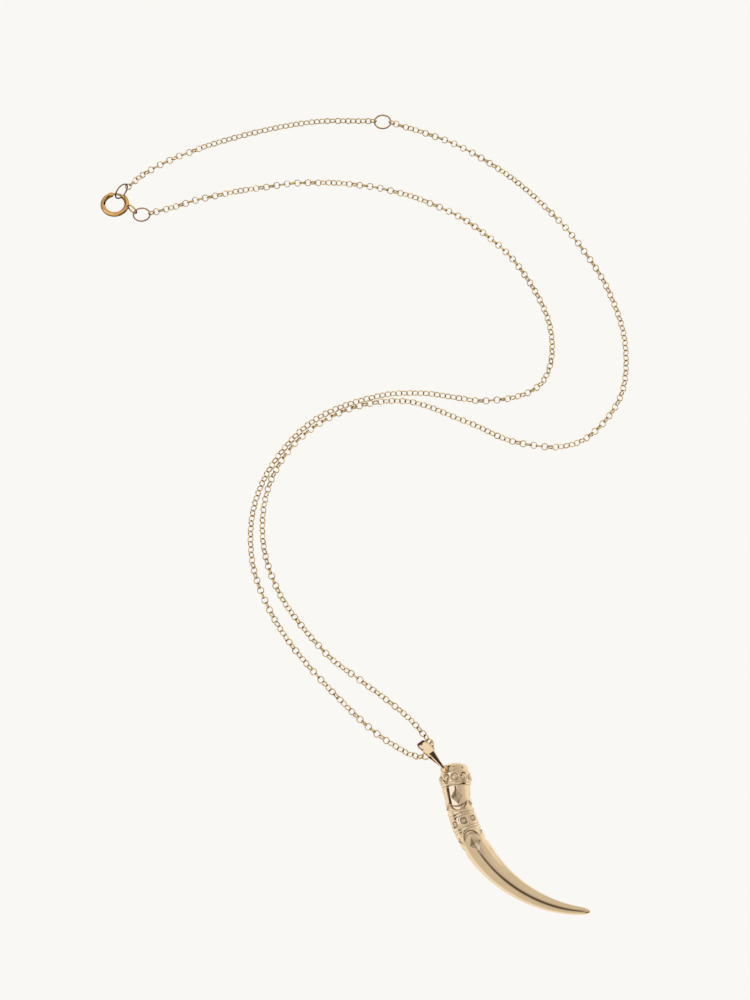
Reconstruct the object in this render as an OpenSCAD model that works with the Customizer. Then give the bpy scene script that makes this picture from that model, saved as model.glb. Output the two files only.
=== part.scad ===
// Tusk pendant on a fine belcher chain, laid out in a doubled S.
// Millimetres, +Z up, the chain and the pendant rest on z = 0.

/* [Chain] */
// Thickness of the chain, across its crossed links
chain_d = 0.85; // [0.75:0.05:0.9]

/* [Rings] */
// Outer diameter of the adjuster and joining rings
ring_d = 3.0; // [2.8:0.1:3.2]
// Wire of the adjuster, joining and end rings
ring_wire = 0.24; // [0.2:0.02:0.3]
// Outer diameter of the end ring, held by the clasp
end_ring_d = 3.0; // [2.8:0.1:3.2]

/* [Clasp] */
// Outer diameter of the bolt ring
clasp_d = 4.8; // [4.6:0.1:5.0]
// Thickness of the bolt ring's tube
clasp_tube = 0.8; // [0.76:0.02:0.86]
// Thickness of the bolt inside it
bolt_d = 0.42; // [0.38:0.02:0.44]
// Clearance between the bolt and its bore
bolt_play = 0.06; // [0.04:0.01:0.08]
// Lean of the bolt ring, its near edge raised
clasp_lean = 6; // [4:1:8]

/* [Bail] */
// Length of the bail, foot to rolled end
bail_l = 7.3; // [7.0:0.1:7.6]
// Greatest height of its loop, seen from the side
bail_h = 2.3; // [2.2:0.05:2.4]
// Width of its front at the widest
bail_w = 1.65; // [1.55:0.05:1.75]
// Width at its rolled end
bail_end_w = 1.3; // [1.2:0.05:1.4]
// Width across the crease in its front
bail_crease_w = 1.1; // [1.0:0.05:1.2]
// Width at its foot
bail_foot_w = 0.32; // [0.3:0.01:0.36]
// Thickness of its wall
bail_wall = 0.3; // [0.26:0.02:0.34]

/* [Tusk] */
// Length along the middle line, cap to tip
tusk_l = 33.8; // [33:0.1:34.5]
// Straight stretch under the cap
tusk_straight = 3.4; // [3:0.1:4]
// Radius of the curve
tusk_curve_r = 20.4; // [20:0.1:21]
// Turn of the ornament round the middle line
front_turn = 10; // [6:1:14]
// Depth of the carving and height of the raised rims
relief = 0.14; // [0.08:0.01:0.18]
// Round beads in the band under the cap
beads = 10; // [8:2:12]
// Ring-and-dot marks in the lower band
dots = 8; // [8:4:8]

/* [Hidden] */

pale_gold = [0.87, 0.74, 0.55];
warm_gold = [0.88, 0.66, 0.42];

// Routes of the chain's middle line: X, Y, and the height of the middle over the surface.
// The first runs from the joining ring to the bail, the second on from the bail to the adjuster.
lie = chain_d / 2;
inner_route = [
    [-34.9, 49.6, 0.6], [-26.5, 52.5, lie], [-16.5, 54.5, lie], [-8, 55.5, lie], [2, 54.5, lie],
    [12.5, 51, lie], [20, 46.5, lie], [26.5, 39.5, lie], [31, 29, lie], [29.5, 19, lie], [21, 15.5, lie],
    [10.2, 16.9, lie], [2.4, 16.4, lie], [-7, 12.6, lie], [-13.6, 5.5, lie], [-17, -3, lie],
    [-17, -12.5, lie], [-13.5, -21.5, lie], [-7.5, -30, lie], [0.5, -38.5, lie], [6, -42.4, lie],
    [8.4, -43.8, 1.05], [10.1, -44.2, 2], [10.75, -43.8, 2.2]];
outer_route = [
    [11, -43.1, 2.1], [11.2, -42.4, 1.8], [10.3, -40.8, 0.8], [7, -37, lie], [0, -31.5, lie],
    [-5.5, -27, lie], [-12.3, -18.1, lie], [-15.4, -8.9, lie], [-14.7, 0.6, lie], [-10, 8.7, lie],
    [-1.9, 14.1, lie], [7.6, 15.5, lie], [17, 12, lie], [25, 8.5, lie], [35, 8.5, lie], [42, 16, lie],
    [43.5, 26, lie], [41, 35.5, lie], [36.5, 43.5, lie], [30.5, 51.5, lie], [23.5, 58, lie],
    [15, 63, lie], [5.5, 66.5, lie]];
end_route = [
    [1.9, 67, lie], [-8, 67, lie], [-17.5, 65, lie], [-28, 61.5, lie], [-35.5, 57.6, lie],
    [-38.95, 54.5, 1]];
// Sides of a chain's tube, and rings of points in each stretch of its route
tube_sides = 8;
stretch_rings = 2;

// Places of the small parts
joining_at = [-36.65, 49.2, 0.7];
joining_lean = 12;
adjuster_at = [3.7, 66.9, 0.35];
adjuster_lean = 7;
end_ring_at = [-40.1, 53.15, 1.52];
end_ring_heading = 49;
end_ring_lean = 8;
clasp_at = [-41.2, 51.1, 0.76];
tab_out = 3.17;
tab_down = 20;
tab_turn = 16;
tab_rise = 0.16;
tab_d = 2.05;
tab_wire = 0.26;

// Angles round the bolt ring, from its own +X
gap_from = 52;
gap_to = 102;
bolt_from = 47;
bolt_to = 166;
trigger_at = 128;
bolt_travel = 54;
mouth_depth = 8;
clasp_r = (clasp_d - clasp_tube) / 2;
bore_r = bolt_d / 2 + bolt_play;
trigger_d = 0.36;
trigger_l = 0.62;
trigger_rise = 30;
slot_room = 7;
// Turn left in the bore beyond the drawn-back bolt, and by which the bore's cuts pass the gap's edges
bore_room = 4;
cut_over = 2;
// Width of the trigger's slot
slot_w = 0.5;

// Columns of the tusk's section table: distance from the cap, plain radius, roundness of the section.
// A roundness of 2 is a circle, and less gives four ridges.
DIST = 0;
RADIUS = 1;
ROUND = 2;
sections = [
    [0, 1.0, 2], [0.15, 1.44, 2], [0.45, 1.92, 2], [0.8, 2.1, 2], [1.4, 2.18, 2], [1.6, 2.36, 2],
    [3.1, 2.36, 2], [3.5, 2.24, 2], [4, 2.15, 2], [6, 2.04, 2], [8, 2.03, 2], [9.3, 2.08, 2],
    [10.6, 2.06, 2], [12, 2.02, 2], [14.5, 1.96, 1.8], [17, 1.82, 1.62], [21.6, 1.48, 1.58],
    [26, 1.16, 1.58], [29.4, 0.87, 1.58], [31.7, 0.68, 1.6], [33.3, 0.48, 1.8], [33.8, 0.26, 2]];
// How far the horn's front is flattened, by distance from the cap
front_flats = [[11, 1], [13, 0.94], [15, 0.82], [18, 0.72], [30, 0.72], [33.5, 0.95]];
carved_to = 15;
carved_step = 0.3;
plain_step = 1.17;
tusk_sides = 48;
tusk_at = [14.55, -45.55, 2.7];
tusk_tilt = [1.7, 4.6, 4.2];

// The ornament, by distance from the cap, with its sizes
bead_at = 2.4;
bead_r = 0.46;
bead_rise = 0.26;
star_at = [5.35, 13];
star_long = 1.15;
star_wide = 0.85;
// Below 1 the star's sides curve inwards
star_bow = 0.8;
dot_at = 9.2;
dot_band_half = 0.9;
dot_rim_r = 0.62;
dot_rim_w = 0.25;
dot_boss_r = 0.28;
groove_at = [3.65, 7.95, 10.5];
groove_half = 0.2;

// Columns of the crescents' table: the tongue's end, the crescent's outer edge, and the radii of both arcs
END = 0;
EDGE = 1;
END_R = 2;
EDGE_R = 3;
crescents = [[6.8, 7.5, 2.05, 1.5], [11.35, 10.8, 1.4, 1.3]];

// The eye that holds the bail, soldered on the cap
eye_r = 0.48;
eye_wire = 0.22;
eye_at = [12.96, -46.74, 4.35];
eye_heading = 127;
eye_dip = 12;

// The bail's foot, the heading of its length and its slope down to the surface
bail_at = [12.92, -46.72, 4.71];
bail_heading = 125;
bail_slope = 31;
// Wall left at the foot, next to the eye
bail_foot_wall = 0.18;
// The crease's and the widest place's shares of the length, from the foot
bail_crease_share = 0.43;
bail_widest_share = 0.74;
// How far the edges of its front bow out between those places
bail_bow = 0.045;

function sec(s, column) = lookup(s, [for (row = sections) [row[DIST], row[column]]]);

// Angle turned through by the tusk's middle line, in degrees, and a point on it
function bend(s) = max(s - tusk_straight, 0) / tusk_curve_r * 180 / PI;
function middle(s) = [
    tusk_curve_r * (1 - cos(bend(s))),
    -min(s, tusk_straight) - tusk_curve_r * sin(bend(s)),
    0];

// Difference of two angles, from -half to half of a repeat
function off(a, repeat) = a - repeat * round(a / repeat);
function hat(x) = max(0, 1 - abs(x));

// Height of the ornament: s is the distance from the cap, x the distance round from the nearest motif
function bead_relief(s, x) = bead_rise * sqrt(max(0, 1 - (pow(s - bead_at, 2) + x * x) / pow(bead_r, 2)));
function dot_relief(d) = relief * (hat((d - dot_rim_r) / dot_rim_w) + hat(d / dot_boss_r));
function star_relief(s, x, at) =
    pow(abs(s - at) / star_long, star_bow) + pow(abs(x) / star_wide, star_bow) < 1 ? -relief : 0;
function crescent_relief(s, x, row) =
    let (way = sign(row[EDGE] - row[END]))
    let (from_end = norm([s - row[END] + way * row[END_R], x]) - row[END_R])
    let (from_edge = norm([s - row[EDGE] + way * row[EDGE_R], x]) - row[EDGE_R])
    from_end > 0 && from_edge < 0 ? -relief : 0;
function groove_relief(s) = -relief * max([for (g = groove_at) hat((s - g) / groove_half)]);
function ornament(s, a) =
    let (r = sec(s, RADIUS), turn = r * PI / 180)
    let (bead_x = off(a, 360 / beads) * turn, dot_x = off(a, 360 / dots) * turn, side_x = off(a, 90) * turn)
    abs(s - bead_at) < bead_r ? bead_relief(s, bead_x)
    : abs(s - dot_at) < dot_band_half ? dot_relief(norm([s - dot_at, dot_x]))
    : star_relief(s, side_x, star_at[0]) + star_relief(s, side_x, star_at[1])
        + crescent_relief(s, side_x, crescents[0]) + crescent_relief(s, side_x, crescents[1])
        + groove_relief(s);

// Radius of the tusk in direction a, measured from its front
function ridged(a, p) = pow(pow(abs(cos(a)), p) + pow(abs(sin(a)), p), -1 / p);
function tusk_r(s, a) = sec(s, RADIUS) * ridged(a, sec(s, ROUND)) + (s < carved_to ? ornament(s, a) : 0);
function tusk_point(s, a) =
    let (b = bend(s), across = [-cos(b), -sin(b), 0], turned = a + front_turn)
    let (up = cos(turned) > 0 ? lookup(s, front_flats) : 1)
    middle(s) + tusk_r(s, a) * (up * cos(turned) * [0, 0, 1] + sin(turned) * across);

// Two triangles for each cell of a grid of rings, and a fan over each end
function tube_faces(rings, sides) = concat(
    [for (i = [0:rings - 2], j = [0:sides - 1])
        let (a = i * sides + j, b = i * sides + (j + 1) % sides) [a, b + sides, b]],
    [for (i = [0:rings - 2], j = [0:sides - 1])
        let (a = i * sides + j, b = i * sides + (j + 1) % sides) [a, a + sides, b + sides]],
    [[for (j = [0:sides - 1]) j]],
    [[for (j = [sides - 1:-1:0]) (rings - 1) * sides + j]]);

// Smooth curve through a route's points, k counted in stretches from its start
function route_at(route, k) =
    let (n = len(route) - 1, i = min(floor(k), n - 1), u = k - i)
    let (p1 = route[i], p2 = route[i + 1])
    let (p0 = i > 0 ? route[i - 1] : 2 * p1 - p2, p3 = i < n - 1 ? route[i + 2] : 2 * p2 - p1)
    (2 * p1 + (p2 - p0) * u + (2 * p0 - 5 * p1 + 4 * p2 - p3) * u * u + (3 * p1 - p0 - 3 * p2 + p3) * u * u * u) / 2;
function heading(route, k) =
    let (d = route_at(route, min(k + 0.05, len(route) - 1)) - route_at(route, max(k - 0.05, 0)))
    d / norm(d);

// A tube from the k-th route point to another, its flats level
module chain_tube(route, from, to) {
    rings = round((to - from) * stretch_rings) + 1;
    r = chain_d / 2 / cos(180 / tube_sides);
    points = [for (i = [0:rings - 1])
        let (k = from + i / stretch_rings, q = route_at(route, k), t = heading(route, k))
        let (p = [q.x, q.y, max(q.z, lie)])
        let (side = [t.y, -t.x, 0] / norm([t.x, t.y]), up = cross(side, t))
        for (j = [0:tube_sides - 1])
            let (a = 360 * (j + 0.5) / tube_sides) p + r * (cos(a) * side + sin(a) * up)];
    polyhedron(points, tube_faces(rings, tube_sides));
}

// A ring of round wire, flat, its middle on the origin
module wire_ring(outer, wire) {
    rotate_extrude($fn = 64) translate([(outer - wire) / 2, 0]) circle(d = wire, $fn = 24);
}

module tusk_body() {
    carved = [for (s = [0.15:carved_step:carved_to]) s];
    plain = [for (s = [carved_to + plain_step:plain_step:tusk_l - 1]) s];
    stations = concat([0], carved, plain, [tusk_l - 0.5, tusk_l]);
    points = [for (s = stations, j = [0:tusk_sides - 1]) tusk_point(s, 360 * j / tusk_sides)];
    polyhedron(points, tube_faces(len(stations), tusk_sides));
}

module tusk() {
    color(pale_gold) {
        translate(tusk_at) rotate(tusk_tilt) tusk_body();
        translate(eye_at) rotate([0, -eye_dip, eye_heading]) wire_ring(2 * eye_r + eye_wire, eye_wire);
    }
}

// A teardrop loop in its own plane, between two places along it, with its greatest half height
module teardrop(from, to, half) {
    // The greatest value of the two sines together
    peak = 0.85;
    polygon([for (turn = [0:10:350])
        [from + (to - from) / 2 * (1 - cos(turn)), half / peak * sin(turn) * sqrt(abs(sin(turn / 2)))]]);
}

// One long edge of the bail's front, from the foot to the rolled end
function bail_edge() = [
    [0, bail_foot_w / 2],
    [bail_crease_share * bail_l, bail_crease_w / 2],
    [(bail_crease_share + bail_widest_share) / 2 * bail_l, (bail_crease_w + bail_w) / 4 + bail_bow],
    [bail_widest_share * bail_l, bail_w / 2],
    [(bail_widest_share + 1) / 2 * bail_l, (bail_w + bail_end_w) / 4 + bail_bow],
    [bail_l, bail_end_w / 2]];

module bail() {
    edge = bail_edge();
    last = len(edge) - 1;
    color(pale_gold) translate(bail_at) rotate([0, bail_slope, bail_heading]) intersection() {
        rotate([90, 0, 0]) linear_extrude(bail_w, center = true) difference() {
            teardrop(0, bail_l, bail_h / 2);
            teardrop(bail_foot_wall, bail_l - bail_wall, bail_h / 2 - bail_wall);
        }
        linear_extrude(2 * bail_h, center = true)
            polygon([for (p = edge) p, for (i = [last:-1:0]) [edge[i][0], -edge[i][1]]]);
    }
}

module chain_inner() {
    color(warm_gold) chain_tube(inner_route, 0, len(inner_route) - 1);
}

module chain_outer() {
    color(warm_gold) chain_tube(outer_route, 0, len(outer_route) - 1);
}

module chain_end() {
    color(warm_gold) chain_tube(end_route, 0, len(end_route) - 1);
}

module adjuster_ring() {
    color(warm_gold) translate(adjuster_at) rotate([-adjuster_lean, 0, 0]) wire_ring(ring_d, ring_wire);
}

module joining_ring() {
    color(warm_gold) translate(joining_at) rotate([-joining_lean, 0, 0]) wire_ring(ring_d, ring_wire);
}

module end_ring() {
    color(warm_gold) translate(end_ring_at) rotate([90 - end_ring_lean, 0, end_ring_heading])
        wire_ring(end_ring_d, ring_wire);
}

// An arc of round bar on the bolt ring's middle circle, between two angles
module clasp_arc(r, from, to) {
    rotate_extrude(angle = to - from, start = from, $fn = 96) translate([clasp_r, 0]) circle(r = r, $fn = 32);
}

// Carries its children to the bolt ring's place and lean
module at_clasp() {
    translate(clasp_at) rotate([-clasp_lean, 0, 0]) children();
}

module clasp_case() {
    slot_from = trigger_at - slot_room;
    color(warm_gold) at_clasp() {
        difference() {
            clasp_arc(clasp_tube / 2, gap_to, gap_from + 360);
            clasp_arc(bore_r, gap_to - cut_over, bolt_to + bolt_travel + bore_room);
            clasp_arc(bore_r, gap_from - mouth_depth, gap_from + cut_over);
            // The slot that the trigger runs in
            rotate([0, 0, slot_from]) rotate_extrude(angle = bolt_travel + 2 * slot_room, $fn = 96)
                translate([clasp_r, 0]) rotate(180 - trigger_rise) translate([0, -slot_w / 2])
                    square([clasp_tube, slot_w]);
        }
        rotate([0, 0, -tab_down]) translate([tab_out, 0, tab_rise]) rotate([90, 0, -tab_turn])
            wire_ring(tab_d, tab_wire);
    }
}

module clasp_bolt() {
    color(warm_gold) at_clasp() {
        clasp_arc(bolt_d / 2, bolt_from, bolt_to);
        rotate([0, 0, trigger_at]) translate([clasp_r, 0, 0]) rotate([0, trigger_rise - 90, 0])
            cylinder(d = trigger_d, h = trigger_l, $fn = 24);
    }
}

tusk();
bail();
chain_inner();
chain_outer();
chain_end();
adjuster_ring();
joining_ring();
end_ring();
clasp_case();
clasp_bolt();
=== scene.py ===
"""Looks of a tusk pendant on a fine belcher chain, laid out on a pale surface.

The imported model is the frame. The chain's solid tubes give way to real interlocking links, and
the tusk and the bail to finely carved copies of themselves. The rings, the bolt ring's case and
its bolt stay as they are and get polished gold.
"""
import logging
import math
from dataclasses import dataclass, field
from enum import Enum
from functools import reduce

import bpy
import numpy as np
from bpy.types import Camera, Material, Mesh, Node, NodeSocket as Socket, NodeTree, Object
from mathutils import Euler, Matrix, Vector


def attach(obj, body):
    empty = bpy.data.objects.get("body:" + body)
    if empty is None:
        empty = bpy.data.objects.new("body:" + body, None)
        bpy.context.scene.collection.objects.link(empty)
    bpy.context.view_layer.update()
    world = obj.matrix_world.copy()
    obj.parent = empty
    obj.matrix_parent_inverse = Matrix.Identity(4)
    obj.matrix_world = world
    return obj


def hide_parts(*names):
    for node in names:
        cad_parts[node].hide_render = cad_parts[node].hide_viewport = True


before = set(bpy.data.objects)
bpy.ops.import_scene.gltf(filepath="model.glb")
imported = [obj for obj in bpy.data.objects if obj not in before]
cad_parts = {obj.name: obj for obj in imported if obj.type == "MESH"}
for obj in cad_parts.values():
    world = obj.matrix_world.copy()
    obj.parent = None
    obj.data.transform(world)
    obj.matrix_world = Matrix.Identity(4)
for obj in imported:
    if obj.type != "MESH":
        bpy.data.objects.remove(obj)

log = logging.getLogger("tusk_pendant")

MM = 0.001
LAID = 0.425  # The height in millimetres of the chain's middle where it lies on the surface
Array = np.ndarray
Pair = tuple[float, float]
Point = tuple[float, float, float]
Arcs = tuple[float, float, float, float]
Values = tuple[float, ...]
Points = tuple[Point, ...]
Table = tuple[Pair, ...]
Inputs = dict[int | str, object]


class Body(Enum):
    """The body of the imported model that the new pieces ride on."""

    NECKLACE = "necklace"


class Slot(Enum):
    """The names of the record's material slots."""

    PALE = "pale_gold"
    CHAIN = "chain_gold"


class Wiring:
    """Adds nodes to one node tree and links them, for materials, the world and the links."""

    def __init__(self, tree: NodeTree) -> None:
        """Keeps the tree and empties it."""
        self.tree = tree
        tree.nodes.clear()

    def give(self, target: Socket, value: object) -> None:
        """Links an input to an output socket, or sets it to a plain value."""
        if isinstance(value, Socket):
            self.tree.links.new(value, target)
        else:
            target.default_value = value

    def add(self, kind: str, inputs: Inputs | None = None, **settings: object) -> Node:
        """Adds a node.

        Args:
            kind: The node's type name.
            inputs: Values or output sockets for its inputs, by number or name.
            settings: Attributes to set on it.

        Returns:
            The new node.
        """
        node = self.tree.nodes.new(kind)
        for name, value in settings.items():
            setattr(node, name, value)
        for key, value in (inputs or {}).items():
            self.give(node.inputs[key], value)
        return node

    def math(self, operation: str, *inputs: object) -> Socket:
        """Adds a Math node and returns its output."""
        return self.add("ShaderNodeMath", dict(enumerate(inputs)), operation=operation).outputs[0]

    def dot(self, vector: Socket, axis: Vector) -> Socket:
        """Adds the dot product of a vector and a fixed axis and returns its output."""
        inputs = {0: vector, 1: tuple(axis)}
        return self.add("ShaderNodeVectorMath", inputs, operation="DOT_PRODUCT").outputs["Value"]

    def ramp(
        self, value: Socket, low: float, high: float, to_low: float = 0.0, to_high: float = 1.0
    ) -> Socket:
        """Maps a value smoothly from one span to another.

        Args:
            value: The value's socket.
            low: Where the span starts.
            high: Where the span ends.
            to_low: What the start becomes.
            to_high: What the end becomes.

        Returns:
            The mapped value's socket.
        """
        inputs = dict(enumerate((value, low, high, to_low, to_high)))
        node = self.add("ShaderNodeMapRange", inputs, interpolation_type="SMOOTHSTEP", clamp=True)
        return node.outputs[0]

    def blend(self, factor: object, first: object, second: object) -> Socket:
        """Adds a colour Mix node and returns its colour output."""
        node = self.add("ShaderNodeMix", data_type="RGBA")
        sockets = {socket.identifier: socket for socket in (*node.inputs, *node.outputs)}
        for name, value in (("Factor_Float", factor), ("A_Color", first), ("B_Color", second)):
            self.give(sockets[name], value)
        return sockets["Result_Color"]


@dataclass(frozen=True)
class GoldFinish:
    """A polished gold alloy with faint hand-polishing marks.

    Colours are linear, and sizes in millimetres. A carved one is darkened and roughened by its
    mesh's painted shade attribute. The shadow is the height of a surface's normal under which
    painted shade darkens it, for the shade under fine wire and round rims. The rounding smooths
    small flats.
    """

    name: str
    bright: Point
    deep: Point
    smooth: float
    dull: float
    edge: Point = (1.0, 1.0, 1.0)
    mottle_scale: float = 420.0
    mottle_detail: float = 3.0
    mottle_span: Pair = (0.3, 0.7)
    mark_scale: float = 5200.0
    mark_detail: float = 2.0
    mark_depth: float = 0.05
    mark_height: float = 0.02
    mark_stretch: Point = (1.0, 0.12, 1.0)
    mark_turn: Point = (0.0, 0.0, 0.6)
    carved: bool = False
    # The colour share and added roughness of the painted shade held in the mesh's attribute.
    painted_shading: Point = (0.09, 0.07, 0.05)
    shade_roughening: float = 0.12
    shadow: float = 0.0
    shadow_soft: float = 0.4
    shadow_share: float = 0.95
    # The colour share of the painted shade under surfaces that face down.
    underside_shade: Point = (0.11, 0.07, 0.03)
    rounding: float = 0.0
    rounding_samples: int = 6

    def darker(self, shares: Point) -> Values:
        """Gives the deep colour with each channel cut to its share."""
        return (*(share * whole for share, whole in zip(shares, self.deep)), 1.0)

    def build(self) -> Material:
        """Makes the material.

        Returns:
            The material.
        """
        material = bpy.data.materials.new(self.name)
        material.use_nodes = True
        w = Wiring(material.node_tree)
        coordinates = w.add("ShaderNodeTexCoord").outputs
        place = coordinates["Object"]
        mottle = w.add("ShaderNodeTexNoise", {
            "Vector": place, "Scale": self.mottle_scale, "Detail": self.mottle_detail,
        }).outputs["Fac"]
        colour = w.blend(w.ramp(mottle, *self.mottle_span), (*self.bright, 1.0), (*self.deep, 1.0))
        rough = w.ramp(mottle, *self.mottle_span, self.smooth, self.dull)
        if self.carved:
            # Painted shade from the mesh's attribute darkens the colour and roughens the metal.
            painted_shade = w.add("ShaderNodeAttribute", attribute_name="painted_shade").outputs["Fac"]
            colour = w.blend(painted_shade, colour, self.darker(self.painted_shading))
            rough = w.math("ADD", rough, w.math("MULTIPLY", painted_shade, self.shade_roughening))
        # Painted shade: the gold darkens where its surface faces down.
        if self.shadow:
            up = w.dot(coordinates["Normal"], Vector((0, 0, 1)))
            fade_from = self.shadow - self.shadow_soft
            under = w.ramp(up, fade_from, self.shadow, self.shadow_share, 0.0)
            colour = w.blend(under, colour, self.darker(self.underside_shade))
        stretch = w.add("ShaderNodeMapping", {
            "Vector": place, "Scale": self.mark_stretch, "Rotation": self.mark_turn,
        })
        marks = w.add("ShaderNodeTexNoise", {
            "Vector": stretch.outputs["Vector"], "Scale": self.mark_scale,
            "Detail": self.mark_detail,
        })
        bump = w.add("ShaderNodeBump", {
            "Strength": self.mark_depth, "Distance": self.mark_height * MM,
            "Height": marks.outputs["Fac"],
        })
        if self.rounding:
            radius = {"Radius": self.rounding * MM}
            rounded = w.add("ShaderNodeBevel", radius, samples=self.rounding_samples)
            w.give(bump.inputs["Normal"], rounded.outputs["Normal"])
        shader = w.add("ShaderNodeBsdfPrincipled", {
            "Metallic": 1.0, "Specular Tint": (*self.edge, 1.0), "Base Color": colour,
            "Roughness": rough, "Normal": bump.outputs["Normal"],
        })
        w.add("ShaderNodeOutputMaterial", {"Surface": shader.outputs["BSDF"]})
        return material


PALE_GOLD = GoldFinish("polished_pale_gold", bright=(0.93, 0.745, 0.52), deep=(0.89, 0.70, 0.47),
                       smooth=0.04, dull=0.08, carved=True)
CHAIN_GOLD = GoldFinish("polished_chain_gold", bright=(1.0, 0.81, 0.47), deep=(0.86, 0.60, 0.29),
                        smooth=0.04, dull=0.09, edge=(0.9, 0.62, 0.32), mottle_scale=1500.0,
                        shadow=0.5, shadow_soft=0.3)
CASE_GOLD = GoldFinish("polished_warm_gold", bright=(1.0, 0.63, 0.23), deep=(1.0, 0.58, 0.19),
                       smooth=0.05, dull=0.09, edge=(0.4, 0.22, 0.08), mark_depth=0.01,
                       shadow=0.62, shadow_soft=0.2, rounding=0.06)
# The rings' gold is darker than the chain's as painted shade, with painted shade under all but
# their upward-facing surfaces.
RING_GOLD = GoldFinish("polished_ring_gold", bright=(0.80, 0.48, 0.23), deep=(0.48, 0.26, 0.11),
                       smooth=0.05, dull=0.09, edge=(0.7, 0.42, 0.22), mark_depth=0.02,
                       shadow=0.88, rounding=0.03)
# A darker, rougher gold for the bolt: its darkness is painted shade, for its place inside the
# case's gap.
BOLT_GOLD = GoldFinish("shaded_bolt_gold", bright=(0.62, 0.44, 0.24), deep=(0.50, 0.34, 0.18),
                       smooth=0.14, dull=0.24)


def make_mesh(name: str, points: Array, faces: list[list[int]]) -> Mesh:
    """Makes a smooth-shaded mesh.

    Args:
        name: The mesh's name.
        points: Its vertices in metres, one row each.
        faces: Its faces, as lists of vertex numbers.

    Returns:
        The mesh.
    """
    mesh = bpy.data.meshes.new(name)
    mesh.from_pydata(points.tolist(), [], faces)
    mesh.validate()
    mesh.polygons.foreach_set("use_smooth", [True] * len(mesh.polygons))
    mesh.update()
    return mesh


def dress_carved(mesh: Mesh, painted_shade: Array, finish: Material) -> None:
    """Gives a mesh its gold, and each of its points how far painted shade darkens it."""
    mesh.attributes.new("painted_shade", "FLOAT", "POINT").data.foreach_set("value", painted_shade)
    mesh.materials.append(finish)


def show(name: str, data: Mesh | Camera) -> Object:
    """Puts a mesh or a camera in the scene under a name, at the origin."""
    piece = bpy.data.objects.new(name, data)
    bpy.context.scene.collection.objects.link(piece)
    return piece


def grid_faces(rings: int, sides: int, closed: bool = False) -> list[list[int]]:
    """Gives the faces of a tube's grid of points.

    Args:
        rings: How many rings of points it has.
        sides: How many points a ring has.
        closed: Whether the last ring joins the first, instead of each end having a flat face.

    Returns:
        The faces, as lists of vertex numbers.
    """
    spans = rings if closed else rings - 1
    faces = [
        [i * sides + j, i * sides + (j + 1) % sides,
         (i + 1) % rings * sides + (j + 1) % sides, (i + 1) % rings * sides + j]
        for i in range(spans) for j in range(sides)
    ]
    if not closed:
        faces.append(list(range(sides))[::-1])
        faces.append([(rings - 1) * sides + j for j in range(sides)])
    return faces


def turned(points: Array, degrees: Point, place: Point) -> Array:
    """Turns points by Euler angles about the origin and moves them to their place."""
    turn = Euler([math.radians(angle) for angle in degrees]).to_matrix()
    return points.reshape(-1, 3) @ np.array(turn).T + np.array(place)


def ease(low: float, high: float, value: Array) -> Array:
    """Eases from 0 at one value to 1 at another."""
    u = np.clip((value - low) / (high - low), 0.0, 1.0)
    return u * u * (3.0 - 2.0 * u)


@dataclass(frozen=True)
class Ridge:
    """A rounded ridge: where its top is, how high it is, and about half its width."""

    at: float
    height: float
    width: float

    def over(self, distance: Array) -> Array:
        """Gives its height at distances from where it is measured."""
        return self.height * np.exp(-(((distance - self.at) / self.width) ** 2))


@dataclass(frozen=True)
class Plateau:
    """A level with soft edges: where it starts, is full, starts to fall and ends."""

    start: float
    full: float
    fall: float
    end: float
    height: float = 1.0

    def over(self, distance: Array) -> Array:
        """Gives its height at distances from where it is measured."""
        rise = ease(self.start, self.full, distance)
        return self.height * rise * ease(self.end, self.fall, distance)


@dataclass
class Route:
    """A smooth curve through points in millimetres, laid on the surface if they have no height."""

    points: tuple[Values, ...]
    fine: int = 40
    feel: float = 0.3
    path: Array = field(init=False)
    along: Array = field(init=False)

    def __post_init__(self) -> None:
        """Samples the curve and the length along it."""
        p = np.array([(*point, LAID)[:3] for point in self.points])
        p = np.vstack([2 * p[0] - p[1], p, 2 * p[-1] - p[-2]])
        rows = []
        for i in range(1, len(p) - 2):
            a, b, c, d = p[i - 1:i + 3]
            u = np.arange(self.fine)[:, None] / self.fine
            rows.append((2 * b + (c - a) * u + (2 * a - 5 * b + 4 * c - d) * u ** 2
                         + (3 * b - a - 3 * c + d) * u ** 3) / 2)
        self.path = np.vstack(rows + [p[-2:-1]])
        steps = np.linalg.norm(np.diff(self.path, axis=0), axis=1)
        self.along = np.concatenate([[0.0], np.cumsum(steps)])

    def at(self, distance: Array) -> Array:
        """Gives the points at distances along the curve."""
        return np.stack([np.interp(distance, self.along, self.path[:, k]) for k in range(3)], -1)

    def heading(self, distance: Array) -> Array:
        """Gives the unit directions at distances along the curve."""
        d = self.at(distance + self.feel) - self.at(distance - self.feel)
        return d / np.linalg.norm(d, axis=1, keepdims=True)


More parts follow.
